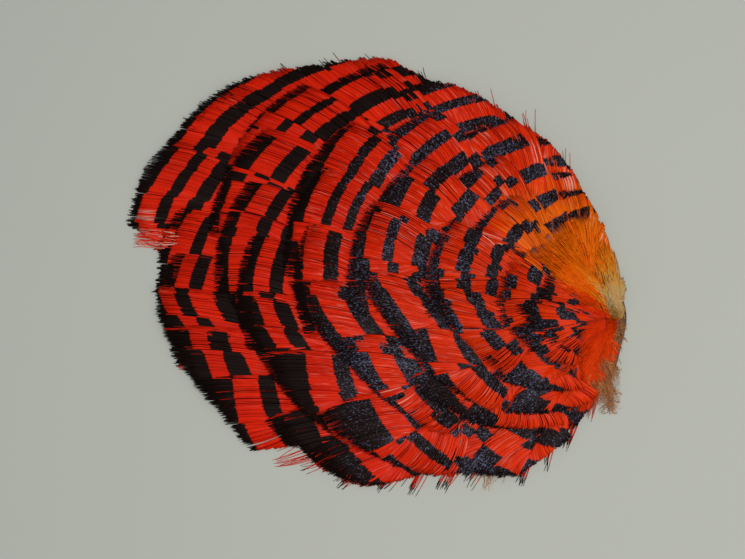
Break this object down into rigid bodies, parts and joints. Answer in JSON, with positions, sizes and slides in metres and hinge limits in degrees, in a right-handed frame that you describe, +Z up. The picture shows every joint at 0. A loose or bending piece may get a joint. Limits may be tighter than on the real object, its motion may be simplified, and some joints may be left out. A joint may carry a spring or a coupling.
{
  "type": "golden pheasant tippet",
  "caption": "Dyed golden pheasant tippet: a fan of red and orange neck feathers with black bars, in overlapping rows on a small piece of dried skin, lying flat.",
  "frame": {"origin": "middle of the skin patch's flat underside", "axes": "+X from the feather tips to the gathered end, +Y across the fan, +Z up"},
  "size_m": [0.095, 0.0839, 0.0105],
  "materials": {
    "red_vane": "dyed feather, silky",
    "orange_vane": "dyed feather, silky",
    "cream_vane": "pale feather, silky",
    "brown_down": "soft down",
    "dried_skin": "dried skin, matt"
  },
  "bodies": {
    "root": {"skin": "dried_skin", "down_feather_1": "brown_down", "down_feather_2": "brown_down", "side_feather_1": "cream_vane", "side_feather_2": "red_vane", "row1_feather_01": "red_vane", "row1_feather_02": "red_vane", "row1_feather_03": "red_vane", "row1_feather_04": "red_vane", "row1_feather_05": "red_vane", "row1_feather_06": "red_vane", "row1_feather_07": "red_vane", "row1_feather_08": "red_vane", "row1_feather_09": "red_vane", "row1_feather_10": "red_vane", "row1_feather_11": "red_vane", "row1_feather_12": "red_vane", "row1_feather_13": "red_vane", "row1_feather_14": "red_vane", "row1_feather_15": "red_vane", "row1_feather_16": "red_vane", "row1_feather_17": "red_vane", "row2_feather_01": "red_vane", "row2_feather_02": "red_vane", "row2_feather_03": "red_vane", "row2_feather_04": "red_vane", "row2_feather_05": "red_vane", "row2_feather_06": "red_vane", "row2_feather_07": "red_vane", "row2_feather_08": "red_vane", "row2_feather_09": "red_vane", "row2_feather_10": "red_vane", "row2_feather_11": "red_vane", "row2_feather_12": "red_vane", "row3_feather_01": "orange_vane", "row3_feather_02": "red_vane", "row3_feather_03": "red_vane", "row3_feather_04": "red_vane", "row3_feather_05": "red_vane", "row3_feather_06": "red_vane", "row3_feather_07": "red_vane", "row3_feather_08": "red_vane", "row3_feather_09": "red_vane", "row3_feather_10": "red_vane", "row4_feather_01": "orange_vane", "row4_feather_02": "red_vane", "row4_feather_03": "red_vane", "row4_feather_04": "red_vane", "row4_feather_05": "red_vane", "row4_feather_06": "red_vane", "row4_feather_07": "red_vane", "row5_feather_01": "orange_vane", "row5_feather_02": "orange_vane", "row5_feather_03": "red_vane", "row5_feather_04": "red_vane", "row6_feather_01": "orange_vane", "row6_feather_02": "red_vane", "row6_feather_03": "red_vane", "row7_feather_01": "orange_vane", "row7_feather_02": "red_vane"}
  },
  "joints": []
}
